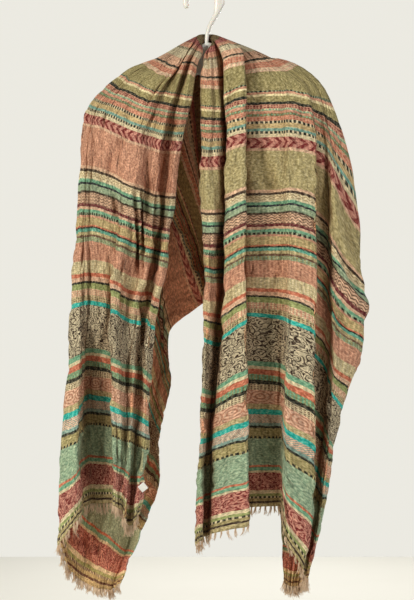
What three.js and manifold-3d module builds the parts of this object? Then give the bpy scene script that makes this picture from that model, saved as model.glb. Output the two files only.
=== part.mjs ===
// A long fringed scarf hung over a moulded clothes hanger, built as thin closed walls of cloth.
// Millimetres, +Z up, +X to the viewer's right, the opening of the scarf faces -Y.
// The origin is the underside of the top of the hook, where a rail carries the hanger.
import * as THREE from 'three';
import { mergeVertices } from 'three/addons/utils/BufferGeometryUtils.js';
import Module from 'manifold-3d';

const wasm = await Module();
wasm.setup();

// ---- Driving sizes ----
const CLOTH_THICKNESS = 1.5;
const CUT_WIDTH = 640;
const HALF_LENGTH = 914;      // half of the cut length, from the middle of the scarf to a hem
const SEAM_GAP = 0.3;
const FALL_START = 262;       // along the cloth, where the stretch over the shoulders ends
const ACROSS_STEP = 16;       // the folds below lie at whole numbers of this step
const FLUTE_PITCH = 157;      // along the cloth, crest to crest of the flutes behind the neck
const FLUTE_DEPTH = 62;
const FLUTED_LENGTH = 250;
const STEM = { side: 10 };    // where the hook's stem meets the cloth
const FOLD_ACROSS = 320;      // the cloth that lies on the arms and then in the outer folds
// Round the hook's stem: the front edges droop lowest where the cloth is gathered.
const NECK = { gap: 9, spread: 0.03, layer: 0.05, sink: 4, droop: 18, droopReach: 160, out: 9 };

const HOOK = { inside: 22.5, tipRadius: 4.7, growth: 4.5, from: 198, to: -4, sides: 10, depth: 4.8 };
// The stem's centre line below the hook, down to the arms' middle.
const STEM_LINE = [
  { side: 29, drop: 37, radius: 9 },
  { side: 24, drop: 47, radius: 8.5 },
  { side: 18.5, drop: 57, radius: 7.5 },
  { side: 13.5, drop: 67, radius: 6.2 },
  { side: 10.5, drop: 77, radius: 4.9 },
  { side: 9, drop: 88, radius: 4.2 },
  { side: 8, drop: 100, radius: 4.6 },
];
const ARM = { topDrop: 92, rootHeight: 58, tipHeight: 14, halfDepth: 5, left: -182, right: 194, bend: 9 };
const ARM_SLOPE = { left: 0.375, right: 0.27 };
const CROWN = { left: 2, right: 13, reach: 96 };   // how far the cloth rises over the arm's bend

const FRINGE_STRIP = 2;
const LOCKS = 44;
const LOCK_LENGTH = 18;
const LOCK_RADIUS = 2.6;
const LABEL = { side: 13, thickness: 0.8, along: 836, turn: 45 };

// ---- Fold tables: a row for each lengthwise fold, from the front edge round to the back edge ----
// "across" is the place in the cut width. "side", "drop" and "out" are the place to the right, the
// depth below the origin and the distance in front of the hanger where the fold crosses these lines:
const STATIONS = [91, 145, 240, 420, 541, 768, HALF_LENGTH];   // neck, shoulder, chevrons ... hem

const LEFT_FOLDS = [
  { fold: 'front edge', across: 0,
    side: [-7, -15, -35, -58, -80, -91, -105],
    drop: [138, 188, 277, 462, 593, 800, 915],
    out: [28, 32, 36, 38, 40, 32, 26] },
  { fold: 'edge crest', across: 16,
    side: [-13, -25, -45, -63, -88, -98, -113],
    drop: [133, 188, 278, 461, 588, 796, 922],
    out: [34, 42, 48, 54, 56, 58, 50] },
  { fold: 'edge crease', across: 48,
    side: [-20, -37, -58, -74, -98, -115, -125],
    drop: [130, 184, 276, 457, 578, 791, 933],
    out: [20, 24, 28, 28, 30, 32, 34] },
  { fold: 'pleat crest', across: 80,
    side: [-28, -47, -70, -89, -113, -121, -131],
    drop: [130, 184, 276, 454, 576, 785, 919],
    out: [32, 38, 42, 48, 50, 62, 58] },
  { fold: 'pleat crease', across: 112,
    side: [-37, -62, -86, -106, -129, -129, -138],
    drop: [127, 181, 270, 448, 573, 785, 905],
    out: [14, 24, 34, 32, 38, 46, 44] },
  { fold: 'panel crest', across: 160,
    side: [-42, -80, -109, -131, -148, -146, -147],
    drop: [141, 180, 264, 438, 562, 776, 898],
    out: [26, 34, 44, 50, 58, 66, 62] },
  { fold: 'panel edge', across: 176,
    side: [-48, -93, -127, -145, -157, -156, -155],
    drop: [137, 175, 257, 433, 558, 770, 897],
    out: [21, 30, 41, 50, 57, 58, 54] },
  { fold: 'panel step', across: 192,
    side: [-55, -104, -141, -151, -155, -152, -151],
    drop: [134, 169, 250, 428, 554, 765, 897],
    out: [16, 26, 36, 40, 38, 28, 26] },
  { fold: 'hollow', across: 240,
    side: [-66, -124, -181, -192, -189, -197, -190],
    drop: [128, 159, 233, 416, 545, 759, 898],
    out: [12, 18, 32, 40, 42, 22, 22] },
  { fold: 'outer crest', across: 288,
    side: [-74, -132, -199, -207, -210, -212, -219],
    drop: [123, 151, 229, 417, 550, 783, 928],
    out: [9, 13, 20, 34, 42, 60, 56] },
  { fold: 'outer fold', across: 320,
    side: [-80, -139, -207, -219, -227, -241, -251],
    drop: [121, 148, 225, 421, 557, 803, 970],
    out: [0, 0, 0, 2, 4, 16, 16] },
  { fold: 'arm rear', across: 336,
    side: [-78, -136, -203, -218, -225, -240, -250],
    drop: [123, 150, 230, 425, 561, 807, 975],
    out: [-10, -11, -12, -12, -12, -2, 2] },
  { fold: 'rear crest 1', across: 400,
    side: [-52, -105, -162, -194, -206, -229, -239],
    drop: [194, 211, 271, 448, 582, 829, 1012],
    out: [-24, -30, -30, -34, -36, -26, -20] },
  { fold: 'rear crease', across: 464,
    side: [-20, -61, -109, -150, -167, -198, -212],
    drop: [293, 292, 327, 487, 615, 867, 1040],
    out: [-26, -34, -34, -46, -50, -44, -36] },
  { fold: 'rear crest 2', across: 528,
    side: [8, -20, -59, -104, -123, -155, -181],
    drop: [399, 391, 395, 549, 664, 897, 1052],
    out: [-28, -36, -32, -34, -36, -28, -22] },
  { fold: 'rear crest 3', across: 592,
    side: [27, 8, -24, -72, -92, -120, -156],
    drop: [508, 487, 480, 632, 730, 937, 1054],
    out: [-28, -36, -28, -40, -42, -36, -28] },
  { fold: 'back edge', across: 640,
    side: [38, 24, 4, -54, -72, -103, -138],
    drop: [589, 565, 540, 699, 776, 947, 1040],
    out: [-26, -34, -22, -24, -24, -8, -4] },
];

const RIGHT_FOLDS = [
  { fold: 'front edge', across: 0,
    side: [-1, -3, -3, 3, 1, -6, -13],
    drop: [156, 204, 303, 486, 612, 834, 969],
    out: [26, 30, 34, 38, 38, 36, 32] },
  { fold: 'edge crest', across: 16,
    side: [11, 12, 11, 13, 8, 0, -5],
    drop: [157, 207, 306, 488, 614, 831, 961],
    out: [34, 42, 48, 52, 50, 46, 42] },
  { fold: 'edge shoulder', across: 48,
    side: [31, 34, 35, 27, 19, 7, 2],
    drop: [157, 207, 304, 489, 618, 830, 957],
    out: [28, 32, 36, 38, 34, 28, 26] },
  { fold: 'deep crease', across: 64,
    side: [43, 47, 48, 40, 30, 12, 7],
    drop: [147, 203, 298, 488, 621, 829, 955],
    out: [12, 12, 14, 12, 6, 10, 14] },
  { fold: 'pleat turn', across: 80,
    side: [36, 38, 40, 36, 39, 24, 17],
    drop: [127, 188, 277, 476, 606, 820, 948],
    out: [34, 40, 44, 48, 46, 40, 34] },
  { fold: 'pleat crest', across: 96,
    side: [52, 54, 56, 54, 57, 50, 46],
    drop: [119, 179, 270, 463, 590, 810, 940],
    out: [38, 44, 50, 56, 56, 52, 46] },
  { fold: 'pleat edge', across: 112,
    side: [72, 75, 76, 75, 78, 80, 82],
    drop: [116, 174, 265, 452, 578, 801, 931],
    out: [36, 46, 54, 60, 62, 58, 52] },
  { fold: 'pleat underside', across: 128,
    side: [69, 70, 70, 70, 74, 75, 77],
    drop: [130, 183, 272, 452, 568, 782, 906],
    out: [22, 30, 36, 38, 38, 32, 28] },
  { fold: 'panel middle', across: 176,
    side: [98, 133, 137, 141, 141, 136, 136],
    drop: [124, 178, 271, 450, 575, 781, 903],
    out: [18, 28, 42, 40, 34, 28, 24] },
  { fold: 'ridge', across: 192,
    side: [104, 148, 153, 152, 148, 142, 142],
    drop: [123, 178, 271, 450, 579, 811, 947],
    out: [16, 26, 44, 50, 56, 58, 54] },
  { fold: 'ridge edge', across: 224,
    side: [112, 187, 200, 200, 198, 197, 176],
    drop: [122, 184, 282, 469, 604, 856, 1008],
    out: [11, 20, 36, 46, 50, 48, 44] },
  { fold: 'ridge underside', across: 240,
    side: [114, 190, 197, 195, 191, 188, 172],
    drop: [122, 185, 290, 492, 628, 872, 1014],
    out: [9, 17, 25, 22, 20, 24, 26] },
  { fold: 'shoulder crease', across: 256,
    side: [117, 200, 217, 219, 212, 201, 179],
    drop: [122, 188, 303, 522, 655, 890, 1020],
    out: [7, 13, 18, 10, 8, 14, 20] },
  { fold: 'flap crest', across: 288,
    side: [120, 212, 231, 231, 226, 208, 183],
    drop: [121, 191, 332, 569, 706, 902, 1028],
    out: [3, 9, 24, 28, 28, 26, 24] },
  { fold: 'outer fold', across: 320,
    side: [123, 227, 276, 283, 248, 213, 187],
    drop: [120, 196, 407, 605, 731, 904, 1034],
    out: [0, 0, 0, 0, 0, 2, 8] },
  { fold: 'arm rear', across: 336,
    side: [122, 226, 276, 284, 247, 212, 186],
    drop: [124, 199, 411, 609, 734, 907, 1036],
    out: [-10, -10, -12, -14, -14, -12, -4] },
  { fold: 'rear crest 1', across: 400,
    side: [107, 197, 248, 254, 231, 203, 181],
    drop: [194, 261, 412, 623, 749, 934, 1040],
    out: [-24, -30, -32, -36, -36, -30, -14] },
  { fold: 'rear crease', across: 464,
    side: [86, 157, 199, 205, 197, 186, 172],
    drop: [296, 331, 423, 623, 743, 938, 1046],
    out: [-26, -34, -34, -50, -52, -40, -26] },
  { fold: 'rear crest 2', across: 528,
    side: [68, 112, 146, 153, 153, 168, 160],
    drop: [413, 412, 437, 605, 729, 932, 1048],
    out: [-28, -36, -32, -36, -38, -28, -20] },
  { fold: 'back edge', across: 640,
    side: [57, 73, 89, 100, 114, 141, 146],
    drop: [575, 554, 536, 623, 739, 933, 1040],
    out: [-26, -34, -22, -40, -42, -38, -26] },
];

// The middle line of the scarf: bunched behind the hook's stem, then hanging down the back.
const MIDDLE_FOLDS = [
  { across: 0, side: 10, drop: 74, out: -13 },
  { across: 320, side: 10, drop: 79, out: -25 },
  { across: 464, side: 18, drop: 290, out: -30 },
  { across: 640, side: 42, drop: 600, out: -30 },
];

// Where an edge swings further than the folds above say: the place on the cloth it swings most,
// how far it moves there, and how far along and across the cloth the swing reaches.
const SWINGS = {
  left: [
    { along: 322, across: 640, side: -28, drop: -20, alongReach: 100, acrossReach: 110 },
    { along: 665, across: 640, side: 14, drop: 0, alongReach: 120, acrossReach: 90 },
  ],
  right: [],
};

// ---- Curves ----
// A smooth curve through the values at the knots that never overshoots between two of them.
function slopes(knots, values) {
  const steps = knots.slice(1).map((knot, i) => (values[i + 1] - values[i]) / (knot - knots[i]));
  return knots.map((_, i) => {
    if (i === 0) return steps[0];
    if (i === knots.length - 1) return steps[i - 1];
    const [before, after] = [steps[i - 1], steps[i]];
    return before * after <= 0 ? 0 : (2 * before * after) / (before + after);
  });
}

function smoothAt(knots, values, tangents, x) {
  let i = 0;
  while (i < knots.length - 2 && x > knots[i + 1]) i += 1;
  const width = knots[i + 1] - knots[i];
  const t = Math.min(1, Math.max(0, (x - knots[i]) / width));
  const [t2, t3] = [t * t, t * t * t];
  return values[i] * (2 * t3 - 3 * t2 + 1) + tangents[i] * width * (t3 - 2 * t2 + t)
    + values[i + 1] * (3 * t2 - 2 * t3) + tangents[i + 1] * width * (t3 - t2);
}

function curve(knots, values) {
  const tangents = slopes(knots, values);
  return (x) => smoothAt(knots, values, tangents, x);
}

// ---- The cloth's middle surface ----
const AXES = ['side', 'drop', 'out'];
const middleLine = Object.fromEntries(AXES.map((axis) => [
  axis, curve(MIDDLE_FOLDS.map((row) => row.across), MIDDLE_FOLDS.map((row) => row[axis])),
]));

// Beside the stem the gathered cloth stands clear of it, on the left or on the right.
function besideStem(across, direction) {
  const gathered = Math.min(across, FOLD_ACROSS);
  const droop = NECK.droop * Math.max(0, 1 - across / NECK.droopReach);
  return {
    side: middleLine.side(across) + direction * (NECK.gap + NECK.spread * gathered),
    drop: middleLine.drop(across) + NECK.sink + droop,
    out: across <= FOLD_ACROSS ? NECK.out - NECK.layer * gathered : middleLine.out(across),
  };
}

// 1 at the middle of its reach, falling smoothly to 0 at either end.
function swell(distance, reach) {
  return Math.max(0, 1 - (distance / reach) ** 2) ** 2;
}

function clothHalf(folds, swings, direction, crown) {
  const knots = [0, 30, ...STATIONS];
  const rows = folds.map((row) => {
    const near = besideStem(row.across, direction);
    return Object.fromEntries(AXES.map((axis) => [
      axis, curve(knots, [middleLine[axis](row.across), near[axis], ...row[axis]]),
    ]));
  });
  const acrossKnots = folds.map((row) => row.across);
  const sections = new Map();
  const section = (along) => {
    if (!sections.has(along)) {
      sections.set(along, Object.fromEntries(AXES.map((axis) => [
        axis, curve(acrossKnots, rows.map((row) => row[axis](along))),
      ])));
    }
    return sections.get(along);
  };
  return (along, across) => {
    const here = section(along);
    const hang = Math.max(0, (across - FOLD_ACROSS) / (CUT_WIDTH - FOLD_ACROSS));
    const fade = 0.5 + 0.5 * Math.cos(Math.PI * Math.min(1, along / FLUTED_LENGTH));
    const wave = 0.5 + 0.5 * Math.cos((2 * Math.PI * along) / FLUTE_PITCH);
    const flute = FLUTE_DEPTH * hang * fade ** 0.35 * wave;
    const overArm = Math.max(0, 1 - Math.abs(across - FOLD_ACROSS) / CROWN.reach);
    const bend = Math.min(1, Math.max(0, (along - STATIONS[0]) / (STATIONS[1] - STATIONS[0])));
    const rise = crown * 4 * bend * (1 - bend) * overArm * (2 - overArm);
    const point = new THREE.Vector3(
      here.side(across), flute - here.out(across), rise - here.drop(across),
    );
    for (const swing of swings) {
      const share = swell(along - swing.along, swing.alongReach)
        * swell(across - swing.across, swing.acrossReach);
      point.x += swing.side * share;
      point.z -= swing.drop * share;
    }
    return point;
  };
}

const leftHalf = clothHalf(LEFT_FOLDS, SWINGS.left, -1, CROWN.left);
const rightHalf = clothHalf(RIGHT_FOLDS, SWINGS.right, 1, CROWN.right);

// Along the whole scarf: negative lengths are the left half, positive ones the right half.
function clothPoint(along, across) {
  return along < 0 ? leftHalf(-along, across) : rightHalf(along, across);
}

// The surface's own slopes give the direction from the wrong side to the right side, and the
// direction in the cloth, square to a seam, in which a piece lies back from that seam.
function clothSlopes(along, across) {
  const reach = 1.5;
  const lengthwise = clothPoint(Math.min(HALF_LENGTH, along + reach), across)
    .sub(clothPoint(Math.max(-HALF_LENGTH, along - reach), across));
  const crosswise = clothPoint(along, Math.min(CUT_WIDTH, across + reach))
    .sub(clothPoint(along, Math.max(0, across - reach))).normalize();
  return { crosswise, normal: crosswise.clone().cross(lengthwise).normalize() };
}

function clothNormal(along, across) {
  return clothSlopes(along, across).normal;
}

// A seam is a row of the grid: the piece on each side of it stops half a seam gap away.
function seamPoint(along, across, away) {
  const { crosswise, normal } = clothSlopes(along, across);
  const square = normal.clone().cross(crosswise).normalize();
  return clothPoint(along, across).addScaledVector(square, away);
}

// ---- The grid of places on the cloth that the walls are built over ----
function stepsBetween(from, to, step) {
  const count = Math.max(1, Math.round((to - from) / step));
  return Array.from({ length: count + 1 }, (_, k) => from + ((to - from) * k) / count);
}

const ACROSSES = stepsBetween(0, CUT_WIDTH, ACROSS_STEP);
const SHOULDER_ALONGS = [0, 15, 30, 50, 70, 91, 109, 127, 145, 170, 205, 240, FALL_START];
const FALL_ALONGS = [
  FALL_START, 290, 320, 352, 386, 420, 460, 500, 541, 585, 630, 675, 720, 768, 817, 866, HALF_LENGTH,
];
const shoulderSpan = [...SHOULDER_ALONGS.slice(1).reverse().map((along) => -along), ...SHOULDER_ALONGS];
const fallSpan = (direction) => FALL_ALONGS.map((along) => direction * along);

// ---- Closed walls ----
// A wall over a grid of places on the cloth: its right side, its wrong side and a rim round both.
function clothWall(alongs, guard = 0) {
  const positions = [];
  const columns = ACROSSES.length;
  for (const offset of [CLOTH_THICKNESS / 2 + guard, -CLOTH_THICKNESS / 2 - guard]) {
    alongs.forEach((along, i) => {
      const back = seamSide(along, alongs[i === 0 ? 1 : i - 1]) * (SEAM_GAP / 2);
      const away = back + (Math.abs(along) === HALF_LENGTH ? Math.sign(along) * guard * 0.8 : 0);
      for (const across of ACROSSES) {
        const point = seamPoint(along, across, away).addScaledVector(clothNormal(along, across), offset);
        positions.push(point.x, point.y, point.z);
      }
    });
  }
  const layer = alongs.length * columns;
  const at = (side, i, j) => side * layer + i * columns + j;
  const triangles = [];
  const quad = (a, b, c, d) => triangles.push(a, b, c, a, c, d);
  for (let i = 0; i + 1 < alongs.length; i += 1) {
    for (let j = 0; j + 1 < columns; j += 1) {
      quad(at(0, i, j), at(0, i, j + 1), at(0, i + 1, j + 1), at(0, i + 1, j));
      quad(at(1, i, j), at(1, i + 1, j), at(1, i + 1, j + 1), at(1, i, j + 1));
    }
  }
  const rim = [];
  for (let j = 0; j < columns; j += 1) rim.push([0, j]);
  for (let i = 1; i < alongs.length; i += 1) rim.push([i, columns - 1]);
  for (let j = columns - 2; j >= 0; j -= 1) rim.push([alongs.length - 1, j]);
  for (let i = alongs.length - 2; i > 0; i -= 1) rim.push([i, 0]);
  rim.forEach(([i, j], k) => {
    const [ni, nj] = rim[(k + 1) % rim.length];
    const corners = [at(0, i, j), at(1, i, j), at(1, ni, nj), at(0, ni, nj)];
    if (nj < j) corners.push(corners.shift());   // so that both sides of a seam fold the same way
    quad(...corners);
  });
  return closedGeometry(positions, triangles);
}

// 0 off a seam, and on one the sign of the way from the seam into the piece.
function seamSide(along, neighbour) {
  return Math.abs(along) === FALL_START ? Math.sign(neighbour - along) : 0;
}

function closedGeometry(positions, triangles) {
  const geometry = new THREE.BufferGeometry();
  geometry.setAttribute('position', new THREE.Float32BufferAttribute(positions, 3));
  geometry.setIndex(triangles);
  return geometry;
}

// A closed skin over rings of points that all have the same count, with flat ends.
function loft(rings) {
  const count = rings[0].length;
  const positions = rings.flat().flatMap((point) => [point.x, point.y, point.z]);
  const triangles = [];
  for (let i = 0; i + 1 < rings.length; i += 1) {
    for (let j = 0; j < count; j += 1) {
      const next = (j + 1) % count;
      const [a, b] = [i * count + j, i * count + next];
      triangles.push(a, b, b + count, a, b + count, a + count);
    }
  }
  const last = (rings.length - 1) * count;
  for (let j = 1; j + 1 < count; j += 1) {
    triangles.push(0, j + 1, j);
    triangles.push(last, last + j, last + j + 1);
  }
  return closedGeometry(positions, triangles);
}

function ring(centre, first, second, radiusA, radiusB, sides) {
  return Array.from({ length: sides }, (_, k) => {
    const angle = (2 * Math.PI * k) / sides;
    return centre.clone()
      .addScaledVector(first, radiusA * Math.cos(angle))
      .addScaledVector(second, radiusB * Math.sin(angle));
  });
}

function asSolid(geometry) {
  const plain = mergeVertices(outwardFacing(geometry), 1e-4);
  return new wasm.Manifold(new wasm.Mesh({
    numProp: 3,
    vertProperties: new Float32Array(plain.attributes.position.array),
    triVerts: new Uint32Array(plain.index.array),
  }));
}

function asGeometry(solid) {
  const mesh = solid.getMesh();
  return closedGeometry(Array.from(mesh.vertProperties), Array.from(mesh.triVerts));
}

// ---- The hanger: hook, stem and two sloping arms in one moulding ----
// The upper line of the arms: straight from the stem, then bending down towards the tips.
const armTop = (side) => {
  const slope = side < STEM.side ? ARM_SLOPE.left : ARM_SLOPE.right;
  const reach = Math.abs(side - STEM.side);
  const tip = Math.max(0, reach - 100) / 60;
  return -ARM.topDrop - slope * reach - ARM.bend * tip ** 3;
};

// The bar thickens from the tip of the hook to the stem, which leans back to the arms' middle.
function hookGeometry() {
  const middle = new THREE.Vector3(0, 0, -HOOK.inside);
  const forward = new THREE.Vector3(0, 1, 0);
  const steps = 22;
  const rings = stepsBetween(0, 1, 1 / steps).map((part) => {
    const angle = THREE.MathUtils.degToRad(HOOK.from + (HOOK.to - HOOK.from) * part);
    const outward = new THREE.Vector3(Math.cos(angle), 0, Math.sin(angle));
    const radius = HOOK.tipRadius + HOOK.growth * part;
    const centre = middle.clone().addScaledVector(outward, HOOK.inside + radius);
    return ring(centre, outward, forward, radius, HOOK.depth, HOOK.sides);
  });
  const across = new THREE.Vector3(0.86, 0, 0.5);
  for (const { side, drop, radius } of STEM_LINE) {
    rings.push(ring(new THREE.Vector3(side, 0, -drop), across, forward, radius, HOOK.depth, HOOK.sides));
  }
  return loft(rings);
}

function armsGeometry() {
  const rings = [];
  const steps = 28;
  for (let i = 0; i <= steps; i += 1) {
    const side = ARM.left + ((ARM.right - ARM.left) * i) / steps;
    const share = Math.min(1, Math.abs(side - STEM.side) / 200);
    const height = ARM.rootHeight + (ARM.tipHeight - ARM.rootHeight) * share ** 0.8;
    const top = armTop(side);
    const deep = ARM.halfDepth;
    rings.push([
      [0, 0], [deep * 0.7, 1.4], [deep, 5], [deep, height - 4], [deep * 0.6, height],
      [-deep * 0.6, height], [-deep, height - 4], [-deep, 5], [-deep * 0.7, 1.4],
    ].map(([depth, down]) => new THREE.Vector3(side, depth, top - down)));
  }
  return loft(rings);
}

// ---- Fringe: locks of yarn along each hem, their roots in one narrow strip ----
function unevenness(index, seed) {
  const value = Math.sin(index * 12.9898 + seed * 78.233) * 43758.5453;
  return value - Math.floor(value);
}

function fringeGeometry(direction) {
  const hem = direction * HALF_LENGTH;
  let solid = asSolid(stripWall(hem));
  for (let k = 0; k < LOCKS; k += 1) {
    const across = ((k + 0.5) / LOCKS) * (CUT_WIDTH - 8) + 4;
    const cell = Math.floor(across / ACROSS_STEP) * ACROSS_STEP;
    const share = (across - cell) / ACROSS_STEP;
    const past = Math.sign(hem) * (SEAM_GAP + FRINGE_STRIP / 2);
    const root = seamPoint(hem, cell, past).lerp(seamPoint(hem, cell + ACROSS_STEP, past), share);
    const normal = clothNormal(hem, cell).lerp(clothNormal(hem, cell + ACROSS_STEP), share);
    const flat = new THREE.Vector3(normal.x, normal.y, 0).normalize();
    const beside = new THREE.Vector3(-flat.y, flat.x, 0);
    const length = LOCK_LENGTH * (0.55 + 0.7 * unevenness(k, 1));
    const sway = (unevenness(k, 2) - 0.5) * 5;
    const lean = (unevenness(k, 3) - 0.5) * 3;
    const rings = [0, 1].map((part) => {
      const centre = root.clone();
      centre.z -= part * length;
      centre.addScaledVector(beside, sway * part).addScaledVector(flat, lean * part);
      const radius = LOCK_RADIUS * (1 - 0.45 * part);
      return ring(centre, beside, flat, radius, Math.min(radius, 0.6 + 0.5 * radius * part), 4);
    });
    solid = solid.add(asSolid(loft(rings)));
  }
  const hemRows = fallSpan(direction).slice(-2);
  for (const clearance of [SEAM_GAP, 0.1, 0]) {
    solid = solid.subtract(asSolid(clothWall(hemRows, clearance)));
  }
  return asGeometry(largestPiece(solid));
}

// The fringe that hangs together, without the crumbs that the cut along the hem leaves.
function largestPiece(solid) {
  return solid.decompose().reduce((most, piece) => (piece.volume() > most.volume() ? piece : most));
}

// Turns every triangle over where they face into the solid.
function outwardFacing(geometry) {
  if (signedVolume(geometry) > 0) return geometry;
  const index = Array.from(geometry.index.array);
  for (let i = 0; i < index.length; i += 3) {
    [index[i + 1], index[i + 2]] = [index[i + 2], index[i + 1]];
  }
  geometry.setIndex(index);
  return geometry;
}

function signedVolume(geometry) {
  const { array } = geometry.attributes.position;
  const index = geometry.index.array;
  const corner = (k) => new THREE.Vector3().fromArray(array, index[k] * 3);
  let volume = 0;
  for (let i = 0; i < index.length; i += 3) {
    volume += corner(i).dot(corner(i + 1).cross(corner(i + 2))) / 6;
  }
  return volume;
}

// The strip continues the cloth past its hem, one seam gap away from it.
function stripWall(hem) {
  const positions = [];
  const columns = ACROSSES.length;
  for (const offset of [CLOTH_THICKNESS / 2, -CLOTH_THICKNESS / 2]) {
    for (const past of [SEAM_GAP, SEAM_GAP + FRINGE_STRIP]) {
      for (const across of ACROSSES) {
        const point = seamPoint(hem, across, Math.sign(hem) * past);
        point.addScaledVector(clothNormal(hem, across), offset);
        positions.push(point.x, point.y, point.z);
      }
    }
  }
  const at = (side, i, j) => side * 2 * columns + i * columns + j;
  const triangles = [];
  const quad = (a, b, c, d) => triangles.push(a, b, c, a, c, d);
  for (let j = 0; j + 1 < columns; j += 1) {
    quad(at(0, 0, j), at(0, 1, j), at(0, 1, j + 1), at(0, 0, j + 1));
    quad(at(1, 0, j), at(1, 0, j + 1), at(1, 1, j + 1), at(1, 1, j));
    quad(at(0, 0, j + 1), at(1, 0, j + 1), at(1, 0, j), at(0, 0, j));
    quad(at(0, 1, j), at(1, 1, j), at(1, 1, j + 1), at(0, 1, j + 1));
  }
  const end = columns - 1;
  quad(at(0, 0, 0), at(1, 0, 0), at(1, 1, 0), at(0, 1, 0));
  quad(at(0, 0, end), at(0, 1, end), at(1, 1, end), at(1, 0, end));
  return closedGeometry(positions, triangles);
}

// ---- The bare label sewn to the left front edge, turned on its corner ----
function labelGeometry() {
  const edge = clothPoint(-LABEL.along, 0);
  const reach = LABEL.side * Math.SQRT1_2;
  const centre = edge.add(new THREE.Vector3(reach + CLOTH_THICKNESS / 2 + SEAM_GAP, 0, 0));
  const plate = new THREE.BoxGeometry(LABEL.side, LABEL.thickness, LABEL.side);
  plate.rotateY(THREE.MathUtils.degToRad(LABEL.turn));
  return plate.translate(centre.x, centre.y, centre.z);
}

// ---- Assembly ----
function coloured(name, geometry, colour, roughness) {
  const shaped = outwardFacing(geometry);
  shaped.computeVertexNormals();
  const material = new THREE.MeshStandardMaterial({ color: colour, roughness, metalness: 0 });
  const mesh = new THREE.Mesh(shaped, material);
  mesh.name = name;
  return mesh;
}

const scarf = new THREE.Group();
scarf.add(coloured('shoulder_stretch', clothWall(shoulderSpan), '#b9a37a', 0.9));
scarf.add(coloured('left_fall', clothWall(fallSpan(-1)), '#c98f72', 0.9));
scarf.add(coloured('right_fall', clothWall(fallSpan(1)), '#a39a62', 0.9));
scarf.add(coloured('left_fringe', fringeGeometry(-1), '#e5be8e', 0.95));
scarf.add(coloured('right_fringe', fringeGeometry(1), '#e5be8e', 0.95));
scarf.add(coloured('care_label', labelGeometry(), '#f4f1ea', 0.8));

const hanger = asSolid(hookGeometry()).add(asSolid(armsGeometry()));
scarf.add(coloured('hanger', asGeometry(hanger), '#efece2', 0.4));

export default scarf;
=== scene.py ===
"""A long woven scarf with fringed ends, hung over a moulded clothes hanger.

Metres, +Z up, +X to the viewer's right; the scarf opens towards -Y. The tables are in millimetres.
A place on the cloth is given by "along", its distance from the scarf's middle to either hem, and
"across", its distance from the front edge round to the back edge.
"""

import math
import random
from collections import namedtuple

import bpy
import numpy as np
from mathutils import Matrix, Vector, noise


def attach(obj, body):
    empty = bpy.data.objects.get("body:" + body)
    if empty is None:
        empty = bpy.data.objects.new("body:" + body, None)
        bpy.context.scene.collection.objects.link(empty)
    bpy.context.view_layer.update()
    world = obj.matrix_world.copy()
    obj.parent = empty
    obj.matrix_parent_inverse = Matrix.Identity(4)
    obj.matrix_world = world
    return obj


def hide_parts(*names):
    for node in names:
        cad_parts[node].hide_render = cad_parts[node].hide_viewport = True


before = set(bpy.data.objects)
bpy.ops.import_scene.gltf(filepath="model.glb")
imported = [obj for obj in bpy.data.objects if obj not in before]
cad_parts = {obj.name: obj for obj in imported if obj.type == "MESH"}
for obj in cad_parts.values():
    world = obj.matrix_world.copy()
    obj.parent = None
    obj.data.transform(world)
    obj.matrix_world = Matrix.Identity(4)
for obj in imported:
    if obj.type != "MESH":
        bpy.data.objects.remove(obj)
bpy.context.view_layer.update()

MM = 0.001

# ---- Sizes of the cloth and the hanger ----
CUT_WIDTH = 640
HALF_LENGTH = 914
CLOTH_THICKNESS = 1.3
GRID = {"along": 6.5, "across": 4}   # one quad of cloth, closer across, where the folds are
FOLD_ACROSS = 320                # the cloth that lies on the hanger's arms
FLUTES = {"pitch": 157, "depth": 62, "length": 250}
NECK = {"gap": 9, "spread": 0.03, "layer": 0.05, "sink": 4, "droop": 18, "droop_reach": 160,
        "out": 9}
CROWN_REACH = 96
CROWN = {"left": 2, "right": 13}
HOOK = {"inside": 22.5, "tip_radius": 4.7, "growth": 4.5, "from": 198, "to": -4, "depth": 4.8,
        "steps": 44, "sides": 20}
ARM = {"top_drop": 92, "root_height": 58, "tip_height": 14, "half_depth": 5, "left": -182,
       "right": 194, "bend": 9, "bend_from": 100, "bend_length": 60, "slope_left": 0.375,
       "slope_right": 0.27, "taper": 200, "sections": 95}
# Half of the arm's section, as (share of the half depth, distance from the top or the bottom)
TOP_RAIL = [(0, 0), (0.55, 0.6), (0.9, 2), (1, 4.2), (0.9, 6.4), (0.35, 8)]
BOTTOM_RAIL = [(0.35, 7), (0.9, 5.6), (1, 3.4), (0.8, 1.2), (0.4, 0.2)]
STEM_SIDE = 10
STEM_CLEARED = 30                # along the cloth, where it has come clear of the stem
STEM_LINE = [                    # side, drop, radius
    (29, 37, 9), (24, 47, 8.5), (18.5, 57, 7.5), (13.5, 67, 6.2), (10.5, 77, 4.9), (9, 88, 4.2),
    (8, 100, 4.6),
]

# ---- Fold tables ----
# Each lengthwise fold lies at one place across the cloth. Its side, drop and out are given at the
# neck, at the shoulder, at the chevrons and so on down to the hem.
STATIONS = [91, 145, 240, 420, 541, 768, HALF_LENGTH]
Fold = namedtuple("Fold", "name across side drop out")

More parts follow.
